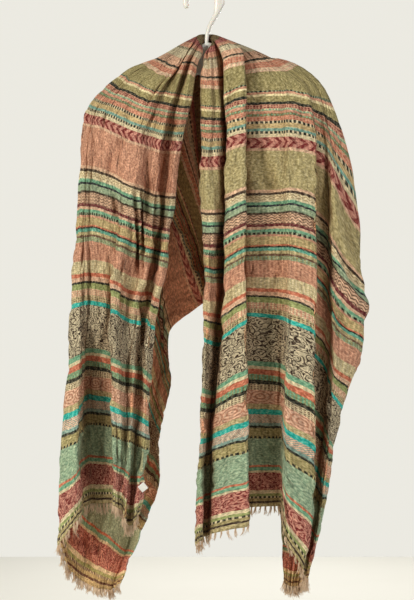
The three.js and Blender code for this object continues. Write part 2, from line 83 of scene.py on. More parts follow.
LEFT_FOLDS = [Fold(*row) for row in [
    ("front edge", 0, [-7, -15, -35, -58, -80, -91, -105],
     [138, 188, 277, 462, 593, 800, 915], [28, 32, 36, 38, 40, 32, 26]),
    ("edge crest", 16, [-13, -25, -45, -63, -88, -98, -113],
     [133, 188, 278, 461, 588, 796, 922], [34, 42, 48, 54, 56, 58, 50]),
    ("edge crease", 48, [-20, -37, -58, -74, -98, -115, -125],
     [130, 184, 276, 457, 578, 791, 933], [20, 24, 28, 30, 36, 42, 42]),
    ("pleat crest", 80, [-28, -47, -70, -89, -113, -121, -131],
     [130, 184, 276, 454, 576, 785, 919], [32, 38, 42, 48, 50, 62, 58]),
    ("pleat crease", 112, [-37, -62, -86, -106, -129, -129, -138],
     [127, 181, 270, 448, 573, 785, 905], [14, 24, 34, 36, 44, 54, 52]),
    ("panel crest", 160, [-42, -80, -109, -131, -148, -146, -147],
     [141, 180, 264, 438, 562, 776, 898], [26, 34, 44, 50, 58, 66, 62]),
    ("panel edge", 176, [-48, -93, -127, -145, -157, -156, -155],
     [137, 175, 257, 433, 558, 770, 897], [21, 30, 41, 50, 57, 58, 54]),
    ("panel step", 192, [-55, -104, -141, -151, -155, -152, -151],
     [134, 169, 250, 428, 554, 765, 897], [16, 26, 36, 40, 38, 28, 26]),
    ("hollow", 240, [-66, -124, -181, -192, -189, -197, -190],
     [128, 159, 233, 416, 545, 759, 898], [12, 18, 32, 38, 34, 8, 10]),
    ("outer crest", 288, [-74, -132, -199, -207, -210, -212, -219],
     [123, 151, 229, 417, 550, 783, 928], [9, 13, 20, 34, 42, 60, 56]),
    ("outer fold", 320, [-80, -139, -207, -219, -227, -241, -251],
     [121, 148, 225, 421, 557, 803, 970], [0, 0, 0, 2, 4, 16, 16]),
    ("arm rear", 336, [-78, -136, -203, -218, -225, -240, -250],
     [123, 150, 230, 425, 561, 807, 975], [-10, -11, -12, -12, -12, -2, 2]),
    ("rear crest 1", 400, [-52, -105, -162, -194, -206, -229, -239],
     [194, 211, 271, 448, 582, 829, 1012], [-24, -30, -30, -34, -36, -26, -20]),
    ("rear crease", 464, [-20, -61, -109, -150, -167, -198, -212],
     [293, 292, 327, 487, 615, 867, 1040], [-26, -34, -34, -46, -50, -44, -36]),
    ("rear crest 2", 528, [8, -20, -59, -104, -123, -155, -181],
     [399, 391, 395, 549, 664, 897, 1052], [-28, -36, -32, -34, -36, -28, -22]),
    ("rear crest 3", 592, [27, 8, -24, -72, -92, -120, -156],
     [508, 487, 480, 632, 730, 937, 1054], [-28, -36, -28, -40, -42, -36, -28]),
    ("back edge", 640, [38, 24, 4, -54, -72, -103, -138],
     [589, 565, 540, 699, 776, 947, 1040], [-26, -34, -22, -24, -24, -8, -4]),
]]

RIGHT_FOLDS = [Fold(*row) for row in [
    ("front edge", 0, [-1, -3, -3, 3, 1, -6, -13],
     [156, 204, 303, 486, 612, 834, 969], [26, 30, 34, 38, 38, 36, 32]),
    ("edge crest", 16, [11, 12, 11, 13, 8, 0, -5],
     [157, 207, 306, 488, 614, 831, 961], [34, 42, 48, 52, 50, 46, 42]),
    ("edge shoulder", 48, [31, 34, 35, 27, 19, 7, 2],
     [157, 207, 304, 489, 618, 830, 957], [28, 32, 36, 38, 34, 28, 26]),
    ("deep crease", 64, [43, 47, 48, 40, 30, 12, 7],
     [147, 203, 298, 488, 621, 829, 955], [12, 12, 14, 12, 10, 14, 18]),
    ("pleat turn", 80, [36, 38, 40, 36, 39, 24, 17],
     [127, 188, 277, 476, 606, 820, 948], [34, 40, 44, 48, 46, 40, 34]),
    ("pleat crest", 96, [52, 54, 56, 54, 57, 50, 46],
     [119, 179, 270, 463, 590, 810, 940], [38, 44, 50, 56, 56, 52, 46]),
    ("pleat edge", 112, [72, 75, 76, 75, 78, 80, 82],
     [116, 174, 265, 452, 578, 801, 931], [36, 46, 54, 60, 62, 58, 52]),
    ("pleat underside", 128, [69, 70, 70, 70, 74, 75, 77],
     [130, 183, 272, 452, 568, 782, 906], [22, 30, 32, 30, 26, 18, 14]),
    ("panel middle", 176, [98, 133, 137, 141, 141, 136, 136],
     [124, 178, 271, 450, 575, 781, 903], [18, 26, 35, 30, 22, 13, 10]),
    ("ridge", 192, [104, 148, 153, 152, 148, 142, 142],
     [123, 178, 271, 450, 579, 811, 947], [16, 26, 44, 50, 56, 58, 54]),
    ("ridge edge", 224, [112, 187, 200, 200, 198, 197, 176],
     [122, 184, 282, 469, 604, 856, 1008], [11, 20, 36, 46, 50, 48, 44]),
    ("ridge underside", 240, [114, 190, 197, 195, 191, 188, 172],
     [122, 185, 290, 492, 628, 872, 1014], [9, 17, 25, 22, 20, 24, 26]),
    ("shoulder crease", 256, [117, 200, 217, 219, 212, 201, 179],
     [122, 188, 303, 522, 655, 890, 1020], [7, 13, 18, 10, 8, 14, 20]),
    ("flap crest", 288, [120, 212, 231, 231, 226, 208, 183],
     [121, 191, 332, 569, 706, 902, 1028], [3, 9, 24, 28, 28, 26, 24]),
    ("outer fold", 320, [123, 227, 276, 283, 248, 213, 187],
     [120, 196, 407, 605, 731, 904, 1034], [0, 0, 0, 0, 0, 2, 8]),
    ("arm rear", 336, [122, 226, 276, 284, 247, 212, 186],
     [124, 199, 411, 609, 734, 907, 1036], [-10, -10, -12, -14, -14, -12, -4]),
    ("rear crest 1", 400, [107, 197, 248, 254, 231, 203, 181],
     [194, 261, 412, 623, 749, 934, 1040], [-24, -30, -32, -36, -36, -30, -14]),
    ("rear crease", 464, [86, 157, 199, 205, 197, 186, 172],
     [296, 331, 423, 623, 743, 938, 1046], [-26, -34, -34, -50, -52, -40, -26]),
    ("rear crest 2", 528, [68, 112, 146, 153, 153, 168, 160],
     [413, 412, 437, 605, 729, 932, 1048], [-28, -36, -32, -36, -38, -28, -20]),
    ("back edge", 640, [57, 73, 89, 100, 114, 141, 146],
     [575, 554, 536, 623, 739, 933, 1040], [-26, -34, -22, -40, -42, -38, -26]),
]]

# The middle line of the scarf: bunched behind the hook's stem, then hanging down the back.
MIDDLE_FOLDS = [
    {"across": 0, "side": 10, "drop": 74, "out": -13},
    {"across": 320, "side": 10, "drop": 79, "out": -25},
    {"across": 464, "side": 18, "drop": 290, "out": -30},
    {"across": 640, "side": 42, "drop": 600, "out": -30},
]

# Where the cloth swings further than the folds say: along, across, side, drop, and its reach.
SWINGS = {
    "middle": [
        (0, 400, -11, 0, (60, 100)),
        (0, 560, 12, 0, (60, 90)),
        (0, 640, 0, -16, (22, 40)),
    ],
    "left": [
        (322, 640, -28, -20, (100, 110)),
        (285, 640, 0, 30, (75, 80)),
        (665, 640, 14, 0, (120, 90)),
        (56, 0, 5, 0, (30, 40)),
    ],
    "right": [
        (50, 0, -8, 0, (24, 50)),
        (368, 316, 11, 0, (26, 60)),
    ],
}

# ---- Weave plan: the stripes from the scarf's middle to a hem, each with its width ----
YARNS = {
    "teal": "#24AC9E", "teal_green": "#5B9D86", "green": "#6C9F7E", "grey_green": "#8C9E7E",
    "sage": "#829C80", "sage_pale": "#9AAD8E", "olive": "#A19364", "olive_dark": "#8A8252",
    "olive_pale": "#AEA176", "olive_green": "#8F985F", "olive_beige": "#BCAC80",
    "olive_brown": "#7F7049", "beige": "#CFC09A", "beige_brown": "#A88F68",
    "grey_beige": "#BDB092", "pale_yellow": "#E0D0A0", "ochre": "#BDA474",
    "salmon": "#C48F74", "salmon_dusty": "#B27C62", "pale_salmon": "#DAAE92", "coral": "#BE6B50",
    "pink": "#BE8070", "pink_beige": "#CFA98A", "dusty_pink": "#B56F66", "dark_red": "#7C2C2C",
    "maroon": "#6A2A2E", "brown": "#6B4E3C", "dark_brown": "#3E2E25", "black_green": "#24261F",
    "blue_black": "#252D33", "grey_teal": "#7E9A8E", "beige_warp": "#D6CAA8", "floats": "#A04E30",
}

# The wide band is olive on the right half. A plain stripe has no second yarn.
Stripe = namedtuple("Stripe", "name width ground second figure", defaults=(None, "plain"))
STRIPES = [Stripe(*row) for row in [
    ("neck brown", 7.0, "brown", "olive_dark", "dashes"),
    ("neck olive", 31.5, "olive_brown", "brown", "dots"),
    ("neck red", 10.5, "dusty_pink", "dark_red", "zigzag"),
    ("neck salmon", 8.8, "salmon"),
    ("neck dashes", 4.4, "beige", "black_green", "dashes"),
    ("neck grey beige", 13.1, "grey_beige", "beige", "dots"),
    ("neck pink", 14.7, "pink_beige", "salmon", "dots"),
    ("first black line", 2.8, "black_green"),
    ("pink beige", 4.0, "pink_beige"),
    ("salmon", 10.5, "salmon", "coral", "dots"),
    ("pale salmon", 5.8, "pale_salmon", "beige", "dots"),
    ("broad olive", 31.2, "olive", "olive_dark", "twill"),
    ("fine dashes", 3.0, "grey_green", "black_green", "dashes"),
    ("thin salmon", 3.7, "salmon"),
    ("pale yellow", 4.2, "pale_yellow"),
    ("olive", 10.2, "olive", "olive_dark", "dots"),
    ("second black line", 4.2, "black_green"),
    ("speckled salmon", 8.1, "salmon", "dark_red", "dots"),
    ("green", 3.1, "green", "beige", "dots"),
    ("salmon", 5.2, "salmon"),
    ("brown green", 4.5, "olive_brown", "green", "dots"),
    ("coral", 8.9, "salmon", "coral", "dots"),
    ("dashes", 5.6, "beige", "black_green", "dashes"),
    ("ochre", 9.1, "ochre"),
    ("grey teal", 4.0, "grey_teal", "teal_green", "dots"),
    ("second dashes", 5.6, "beige", "black_green", "dashes"),
    ("beige", 6.3, "beige"),
    ("chevrons", 18.7, "pink", "dark_red", "chevrons"),
    ("pale pink", 5.6, "pink_beige"),
    ("wide band", 66.5, "salmon", "salmon_dusty", "scrolls"),
    ("pink beige", 5.1, "pink_beige"),
    ("brown line", 4.2, "dark_brown"),
    ("zigzag", 8.8, "beige", "beige_brown", "zigzag"),
    ("beige", 3.0, "beige"),
    ("green", 5.6, "green"),
    ("blue black line", 3.0, "blue_black"),
    ("grey green", 10.2, "grey_green", "sage_pale", "dots"),
    ("dark brown line", 3.2, "dark_brown"),
    ("broad zigzag", 16.4, "pink_beige", "brown", "zigzag"),
    ("maroon line", 5.4, "maroon"),
    ("pink beige", 4.4, "pink_beige"),
    ("green", 5.6, "green"),
    ("dashed line", 4.2, "grey_green", "black_green", "dashes"),
    ("thin salmon", 3.0, "salmon"),
    ("ochre", 14.4, "ochre", "olive", "dots"),
    ("coral", 2.8, "coral"),
    ("black line", 2.3, "black_green"),
    ("teal green", 5.6, "teal_green"),
    ("olive beige", 5.1, "olive_beige", "olive", "dots"),
    ("brown line", 2.8, "brown"),
    ("green dots", 7.5, "grey_green", "olive_dark", "dots"),
    ("broad salmon", 29.9, "salmon", "salmon_dusty", "dots"),
    ("olive beige", 18.7, "olive_beige", "beige", "dots"),
    ("coral", 6.4, "coral"),
    ("pink beige", 6.9, "pink_beige", "pale_salmon", "dots"),
    ("thick black line", 3.8, "black_green"),
    ("olive green", 8.4, "olive_green"),
    ("salmon dots", 10.1, "salmon", "beige", "dots"),
    ("beige brown", 9.1, "olive_beige", "brown", "dots"),
    ("teal", 7.3, "teal"),
    ("brown paisley", 80.7, "grey_beige", "dark_brown", "paisley"),
    ("green", 8.9, "green"),
    ("beige", 5.6, "beige"),
    ("coral", 9.6, "coral"),
    ("green figures", 10.2, "green", "olive_dark", "dots"),
    ("black line", 7.3, "black_green"),
    ("beige dots", 10.7, "beige", "brown", "dots"),
    ("medallions", 27.1, "pale_salmon", "salmon_dusty", "medallions"),
    ("olive beige", 9.4, "olive_beige", "olive", "dots"),
    ("lower teal", 10.0, "teal"),
    ("twill", 15.9, "pale_salmon", "grey_teal", "twill"),
    ("grey blue", 6.8, "grey_teal"),
    ("black line", 3.7, "black_green"),
    ("olive", 15.8, "olive", "olive_dark", "dots"),
    ("dashes", 4.2, "olive", "black_green", "dashes"),
    ("sage band", 54.6, "sage", "sage_pale", "scrolls"),
    ("thin coral", 4.7, "coral"),
    ("green", 7.2, "green"),
    ("beige", 4.6, "beige"),
    ("red paisley", 36.9, "pink", "dark_red", "paisley"),
    ("beige", 7.5, "beige"),
    ("olive green", 6.0, "olive_green"),
    ("dots", 4.5, "beige", "black_green", "dashes"),
    ("olive", 5.4, "olive"),
    ("last brown line", 4.7, "dark_brown"),
    ("hem", 8.0, "olive_beige", "olive", "dots"),
]]
FIGURES = ["dots", "dashes", "zigzag", "twill", "scrolls", "paisley", "chevrons", "medallions"]
RAMP_STOPS = 30
# Painted light and shade, as shares of red, green and blue: painted shade at the bottom of a fold,
# painted light on the open cloth and a painted glow on the wrong side
PAINTED_LIGHT = {"fold": (0.42, 0.24, 0.14, 1), "open": (1.16, 1.15, 1.14, 1), "through": (1.75, 1.5, 1.3)}


# ---- Curves and the cloth's draped surface ----
def curve(knots, values, places):
    """A smooth curve through the values at the knots that never overshoots between two of them."""
    knots = np.asarray(knots, float)
    values = np.asarray(values, float)
    values = values.reshape(len(knots), -1)
    places = np.asarray(places, float)
    steps = np.diff(values, axis=0) / np.diff(knots)[:, None]
    before, after = steps[:-1], steps[1:]
    total = np.where(np.abs(before + after) < 1e-12, 1, before + after)
    inner = np.where(before * after > 0, 2 * before * after / total, 0)
    tangents = np.concatenate([steps[:1], inner, steps[-1:]])
    i = np.clip(np.searchsorted(knots, places) - 1, 0, len(knots) - 2)
    width = (knots[i + 1] - knots[i])[:, None]
    t = np.clip((places[:, None] - knots[i][:, None]) / width, 0, 1)
    t2, t3 = t * t, t * t * t
    return (values[i] * (2 * t3 - 3 * t2 + 1) + tangents[i] * width * (t3 - 2 * t2 + t)
            + values[i + 1] * (3 * t2 - 2 * t3) + tangents[i + 1] * width * (t3 - t2))


def middle_line(axis, across):
    knots = [row["across"] for row in MIDDLE_FOLDS]
    return curve(knots, [row[axis] for row in MIDDLE_FOLDS], [across])[0, 0]


def beside_stem(across, direction):
    """Beside the stem the gathered cloth stands clear of it, on the left or on the right."""
    gathered = min(across, FOLD_ACROSS)
    side = middle_line("side", across) + direction * (NECK["gap"] + NECK["spread"] * gathered)
    droop = NECK["droop"] * max(0, 1 - across / NECK["droop_reach"])
    drop = middle_line("drop", across) + NECK["sink"] + droop
    if across <= FOLD_ACROSS:
        return {"side": side, "drop": drop, "out": NECK["out"] - NECK["layer"] * gathered}
    return {"side": side, "drop": drop, "out": middle_line("out", across)}


def swell(distance, reach):
    """1 at the middle of its reach, falling smoothly to 0 at either end."""
    return np.maximum(0, 1 - (distance / reach) ** 2) ** 2


def draped_half(folds, swings, direction, crown, alongs, acrosses):
    """The middle surface of one half of the scarf as an array of points, in millimetres."""
    shape = {}
    for axis in ("side", "drop", "out"):
        rows = [
            curve([0, STEM_CLEARED, *STATIONS],
                  [middle_line(axis, fold.across), beside_stem(fold.across, direction)[axis],
                   *getattr(fold, axis)], alongs)[:, 0]
            for fold in folds
        ]
        shape[axis] = curve([fold.across for fold in folds], rows, acrosses).T
    along = np.asarray(alongs, float)[:, None]
    across = np.asarray(acrosses, float)[None, :]
    hang = np.maximum(0, (across - FOLD_ACROSS) / (CUT_WIDTH - FOLD_ACROSS))
    fade = 0.5 + 0.5 * np.cos(np.pi * np.minimum(1, along / FLUTES["length"]))
    wave = 0.5 + 0.5 * np.cos(2 * np.pi * along / FLUTES["pitch"])
    flute = FLUTES["depth"] * hang * fade ** 0.35 * wave
    over_arm = np.maximum(0, 1 - np.abs(across - FOLD_ACROSS) / CROWN_REACH)
    bend = np.clip((along - STATIONS[0]) / (STATIONS[1] - STATIONS[0]), 0, 1)
    rise = crown * 4 * bend * (1 - bend) * over_arm * (2 - over_arm)
    points = np.stack([shape["side"], flute - shape["out"], rise - shape["drop"]], axis=-1)
    for mid_along, mid_across, side, drop, reach in swings:
        share = swell(along - mid_along, reach[0]) * swell(across - mid_across, reach[1])
        points[..., 0] += side * share
        points[..., 2] -= drop * share
    return points


ALONGS = np.linspace(-HALF_LENGTH, HALF_LENGTH, 2 * round(HALF_LENGTH / GRID["along"]) + 1)
ACROSSES = np.linspace(0, CUT_WIDTH, round(CUT_WIDTH / GRID["across"]) + 1)


def normals_of(points):
    """The direction from the wrong side of the cloth to its right side, at every point."""
    square = np.cross(np.gradient(points, axis=0), np.gradient(points, axis=1))
    return square / np.maximum(np.linalg.norm(square, axis=-1, keepdims=True), 1e-9)


def cloth_surface():
    middle = len(ALONGS) // 2
    left = draped_half(LEFT_FOLDS, SWINGS["middle"] + SWINGS["left"], -1, CROWN["left"],
                       -ALONGS[:middle], ACROSSES)
    right = draped_half(RIGHT_FOLDS, SWINGS["middle"] + SWINGS["right"], 1, CROWN["right"],
                        ALONGS[middle:], ACROSSES)
    return np.concatenate([left, right])


# ---- Creases and crinkles ----
# Creases listed one by one: its two ends, each (along, across), the trough's depth and half its
# width.
CREASES = [
    ((-84, 160), (-150, 152), 7, 6),  # under the left shoulder
    ((-143, 156), (-180, 166), 5, 5),
    ((-186, 120), (-212, 138), 5, 5),
    ((-246, 184), (-318, 208), 4, 6),
    ((-330, 250), (-564, 246), 3, 6),  # down the left panel
    ((-350, 200), (-410, 178), 5, 5),
    ((-340, 150), (-467, 102), 13, 4.5),
    ((-334, 132), (-467, 88), 13, 4.5),
    ((-322, 77), (-405, 68), 11, 4.5),
    ((-455, 274), (-505, 302), 4, 6),
    ((-436, 186), (-478, 170), 5, 5),
    ((-455, 150), (-505, 165), 5, 6),
    ((-450, 65), (-490, 58), 5, 5),
    ((-505, 178), (-655, 168), 5, 5),
    ((-490, 74), (-625, 26), 6, 5),
    ((-735, 156), (-840, 148), 5, 5),
    ((-745, 78), (-840, 60), 5, 5),
    ((-820, 450), (-878, 505), 6, 8),  # the left hem behind
    ((-880, 410), (-860, 550), 5, 7),
    ((32, 10), (120, 18), 4, 5),  # gathers at the neck
    ((60, 30), (190, 34), 4, 5),
    ((123, 97), (176, 91), 5, 5),
    ((167, 208), (196, 203), 4, 4),
    ((245, 154), (340, 166), 6, 6),  # down the right panel
    ((230, 178), (300, 190), 3, 7),
    ((215, 28), (290, 22), 4, 5),
    ((480, 90), (640, 96), 3, 6),
    ((700, 90), (795, 92), 5, 6),
    ((640, 208), (700, 214), 6, 7),
    ((233, 300), (305, 306), 5, 7),  # the right flap
    ((318, 296), (370, 318), 7, 7),
    ((400, 300), (470, 292), 6, 7),
    ((-420, 380), (-640, 372), 7, 9),  # the rear layer
    ((-260, 470), (-470, 500), 8, 9),
    ((-560, 560), (-760, 540), 7, 8),
    ((-120, 430), (-250, 400), 6, 8),
    ((150, 420), (300, 395), 7, 9),
    ((330, 520), (520, 500), 8, 9),
    ((480, 400), (700, 420), 7, 8),
    ((640, 560), (820, 545), 6, 8),
]
# Small tucks where the cloth doubles over a little, so the stripes jump down by this much.
TUCKS = [
    {"across": 170, "along": (-660, -500), "jump": 6, "half": 5},
    {"across": 60, "along": (-640, -480), "jump": 7, "half": 5},
    {"across": 300, "along": (330, 480), "jump": 5, "half": 8},
]
TUCK_FADE = 90
# Puckers of the washed weave, finer and finer: length, width and height of one.
PUCKERS = [(150, 34, 5.0), (60, 18, 3.6), (26, 10, 2.0)]
# They grow to full height on the way from the neck, and are all but pulled out over the arms.
CALM = {"neck": 40, "growth": 200, "least": 0.15, "arm_length": 230, "arm_reach": 90, "tight": 0.9}


def pucker_field(length, width, seed):
    """Uneven ridges and sharp valleys that run lengthwise, between -1 and 1."""
    field = np.array([
        [noise.noise(Vector((along / length, across / width, seed))) for across in ACROSSES]
        for along in ALONGS])
    return field - 0.9 * np.maximum(0, 1 - np.abs(field) * 5) ** 2


def crumpled(points):
    """The draped surface with its creases, tucks and puckers."""
    along, across = np.meshgrid(ALONGS, ACROSSES, indexing="ij")
    calm = np.clip((np.abs(along) - CALM["neck"]) / CALM["growth"], CALM["least"], 1)
    on_arm = np.maximum(0, 1 - np.abs(along) / CALM["arm_length"])
    on_arm = on_arm * swell(across - FOLD_ACROSS, CALM["arm_reach"])
    calm = calm * (1 - CALM["tight"] * on_arm)
    height = 0
    for seed, (length, width, tall) in enumerate(PUCKERS):
        height = height + tall * pucker_field(length, width, 3.7 * seed + 0.5) * calm
    for start, end, depth, half in CREASES:
        run = np.subtract(end, start)
        share = ((along - start[0]) * run[0] + (across - start[1]) * run[1]) / (run @ run)
        share = np.clip(share, 0, 1)
        away = np.hypot(along - start[0] - share * run[0], across - start[1] - share * run[1])
        taper = np.sin(np.pi * np.clip(share, 0.04, 0.96)) ** 0.5
        # a trough with a soft ridge on either side of it
        ridge = 0.5 * swell(away - 2.2 * half, 1.6 * half)
        height = height + depth * taper * (ridge - np.exp(-(away / half) ** 2))
    moved = points + normals_of(points) * height[..., None]
    for tuck in TUCKS:
        low, high = tuck["along"]
        held = swell(along - (low + high) / 2, 0.6 * (high - low))
        beyond = np.clip((across - tuck["across"]) / tuck["half"] + 0.5, 0, 1)
        faded = np.exp(-np.maximum(0, across - tuck["across"]) / TUCK_FADE)
        moved[..., 2] -= tuck["jump"] * held * beyond * faded
    return moved


# ---- Meshes ----
def new_object(name, vertices, faces, material):
    mesh = bpy.data.meshes.new(name)
    mesh.from_pydata([tuple(v) for v in vertices], [], [tuple(f) for f in faces])
    mesh.materials.append(material)
    mesh.polygons.foreach_set("use_smooth", [True] * len(mesh.polygons))
    mesh.update()
    piece = bpy.data.objects.new(name, mesh)
    bpy.context.collection.objects.link(piece)
    return piece


def cloth_piece(points, right_side, wrong_side):
    """A closed shell of cloth: right side, wrong side and the edges between them."""
    rows, columns = points.shape[:2]
    normal = normals_of(points)
    layers = [points + normal * CLOTH_THICKNESS / 2, points - normal * CLOTH_THICKNESS / 2]
    vertices = np.concatenate([layer.reshape(-1, 3) for layer in layers]) * MM
    place = np.arange(rows * columns).reshape(rows, columns)
    under = place + rows * columns
    a, b, c, d = place[:-1, :-1], place[:-1, 1:], place[1:, 1:], place[1:, :-1]
    right_faces = np.stack([a, d, c, b], axis=-1).reshape(-1, 4)
    wrong_faces = np.stack([a, b, c, d], axis=-1).reshape(-1, 4) + rows * columns
    rim = np.concatenate([place[0, :-1], place[:-1, -1], place[-1, :0:-1], place[:0:-1, 0]])
    following = np.roll(rim, -1)
    rim_faces = np.stack([rim, following, following + rows * columns, rim + rows * columns], -1)
    faces = np.concatenate([right_faces, wrong_faces, rim_faces])
    piece = new_object("scarf_cloth", vertices, faces.tolist(), right_side)
    mesh = piece.data
    mesh.materials.append(wrong_side)
    sides = np.zeros(len(faces), int)
    sides[len(right_faces):len(right_faces) + len(wrong_faces)] = 1
    mesh.polygons.foreach_set("material_index", sides)
    weave_map = mesh.uv_layers.new(name="cloth")
    places = np.stack(np.meshgrid(ALONGS * MM, ACROSSES * MM, indexing="ij"), -1).reshape(-1, 2)
    places = np.concatenate([places, places])
    weave_map.data.foreach_set("uv", places[faces.reshape(-1)].reshape(-1))
    return piece


# ---- Materials ----
def linear(colour):
    """The linear colour of an sRGB hex value."""
    channels = [int(colour[i:i + 2], 16) / 255 for i in (1, 3, 5)]
    return [c / 12.92 if c <= 0.04045 else ((c + 0.055) / 1.055) ** 2.4 for c in channels] + [1.0]


def add(tree, kind, inputs=None, **settings):
    """Adds a node with its settings, its values and its links."""
    made = tree.nodes.new("ShaderNode" + kind)
    for name, value in settings.items():
        setattr(made, name, value)
    for name, value in (inputs or {}).items():
        source = value.outputs[0] if isinstance(value, bpy.types.Node) else value
        if isinstance(source, bpy.types.NodeSocket):
            tree.links.new(source, made.inputs[name])
        else:
            made.inputs[name].default_value = source
    return made


def new_material(name):
    material = bpy.data.materials.new(name)
    material.use_nodes = True
    tree = material.node_tree
    tree.nodes.clear()
    return material, tree


def finish_surface(tree, inputs):
    shader = add(tree, "BsdfPrincipled", inputs)
    add(tree, "OutputMaterial", {"Surface": shader})


def stripe_colours(tree, length, colours):
    """The colour of the stripe at this length. A ramp holds few stops, so several follow on."""
    widths = [stripe.width for stripe in STRIPES]
    ends = np.cumsum(widths)
    starts = ends - widths
    chosen = None
    for first in range(0, len(STRIPES), RAMP_STOPS):
        last = min(first + RAMP_STOPS, len(STRIPES))
        low, high = starts[first], ends[last - 1]
        share = add(tree, "MapRange", {"Value": length, "From Min": low * MM,
                                       "From Max": high * MM})
        ramp = add(tree, "ValToRGB", {"Fac": share})
        ramp.color_ramp.interpolation = "CONSTANT"
        stops = ramp.color_ramp.elements
        stops.remove(stops[1])
        stops[0].position = 0
        stops[0].color = colours[first]
        for k in range(first + 1, last):
            stops.new((starts[k] - low) / (high - low)).color = colours[k]
        if chosen is None:
            chosen = ramp
            continue
        past = add(tree, "Math", {0: length, 1: low * MM}, operation="GREATER_THAN")
        chosen = add(tree, "Mix", {"Factor": past, 6: chosen, 7: ramp}, data_type="RGBA").outputs[2]
    return chosen


def stripe_middle(name):
    """How far from the scarf's middle the stripe's own middle lies, and the stripe's width."""
    start = 0
    for stripe in STRIPES:
        if stripe.name == name:
            return (start + stripe.width / 2) * MM, stripe.width * MM
        start += stripe.width
    raise KeyError(name)


def band_scale(pitch):
    """The scale that puts a Wave texture's bands this many millimetres apart."""
    return math.pi / (10 * pitch * MM)


def cell_scale(size):
    """The scale that makes a Noise or Voronoi texture's cells this many millimetres across."""
    return 1 / (size * MM)


def small_repeats(tree, length, across):
    """Where the figure yarn floats on top, in the small figures a few millimetres apart."""
    beside = add(tree, "Math", {0: across, 1: 1.7 * MM}, operation="PINGPONG")
    up = add(tree, "Math", {0: length, 1: 1.6 * MM}, operation="PINGPONG")
    dot = add(tree, "Math", {0: beside, 1: up}, operation="MAXIMUM")
    dash = add(tree, "Math", {0: across, 1: 2.3 * MM}, operation="PINGPONG")
    tooth = add(tree, "Math", {0: across, 1: 3.2 * MM}, operation="PINGPONG")
    wavy = add(tree, "Math", {0: length, 1: tooth}, operation="ADD")
    thread = add(tree, "Math", {0: wavy, 1: 2.3 * MM}, operation="PINGPONG")
    slant = add(tree, "Math", {0: length, 1: across}, operation="ADD")
    rib = add(tree, "Math", {0: slant, 1: 1.6 * MM}, operation="PINGPONG")
    reaches = {"dots": (dot, 1.0), "dashes": (dash, 1.35), "zigzag": (thread, 0.9),
               "twill": (rib, 0.7)}
    return {name: add(tree, "Math", {0: away, 1: reach * MM}, operation="LESS_THAN")
            for name, (away, reach) in reaches.items()}


def chevron_row(tree, signed, length, across):
    """Arrowheads 11 mm apart that point one way, and the other way within 50 mm of the edge."""
    middle, _ = stripe_middle("chevrons")
    offset = add(tree, "Math", {0: length, 1: middle}, operation="SUBTRACT")
    reach = add(tree, "Math", {0: offset}, operation="ABSOLUTE")
    leaning = add(tree, "Math", {0: reach, 1: 0.8}, operation="MULTIPLY")
    turned = add(tree, "Math", {0: across, 1: 50 * MM}, operation="LESS_THAN")
    sense = add(tree, "MapRange", {"Value": turned, "To Min": 1.0, "To Max": -1.0})
    swayed = add(tree, "Math", {0: leaning, 1: sense}, operation="MULTIPLY")
    arrow = add(tree, "Math", {0: across, 1: swayed}, operation="ADD")
    head = add(tree, "Math", {0: arrow, 1: 5.5 * MM}, operation="PINGPONG")
    return add(tree, "Math", {0: head, 1: 2.6 * MM}, operation="LESS_THAN")


def medallion_row(tree, length, across):
    """Two rings one in the other, 19 mm from one medallion to the next."""
    middle, _ = stripe_middle("medallions")
    up = add(tree, "Math", {0: length, 1: middle}, operation="SUBTRACT")
    beside = add(tree, "Math", {0: across, 1: 9.5 * MM}, operation="PINGPONG")
    flat = add(tree, "CombineXYZ", {0: up, 1: beside})
    radius = add(tree, "VectorMath", {0: flat}, operation="LENGTH").outputs["Value"]
    line = add(tree, "Math", {0: radius, 1: 2.4 * MM}, operation="PINGPONG")
    return add(tree, "Math", {0: line, 1: 1.0 * MM}, operation="LESS_THAN")


def curling_leaves(tree, place, size, cut):
    """Curling leaf shapes: lines round scattered centres that drift out of true."""
    drift = add(tree, "TexNoise", {"Vector": place, "Scale": 0.9 * cell_scale(size),
                                   "Detail": 1.0})
    shift = add(tree, "VectorMath", {0: drift.outputs["Color"], 1: (0.5, 0.5, 0.5)},
                operation="SUBTRACT")
    swayed = add(tree, "VectorMath", {0: shift, 1: (1.8 * size * MM, 1.8 * size * MM, 0)},
                 operation="MULTIPLY")
    moved = add(tree, "VectorMath", {0: place, 1: swayed}, operation="ADD")
    leaves = add(tree, "TexVoronoi", {"Vector": moved, "Scale": cell_scale(size),
                                      "Randomness": 0.8}, voronoi_dimensions="2D")
    rings = add(tree, "Math", {0: leaves.outputs["Distance"], 1: 0.19}, operation="PINGPONG")
    return add(tree, "Math", {0: rings, 1: cut}, operation="LESS_THAN")


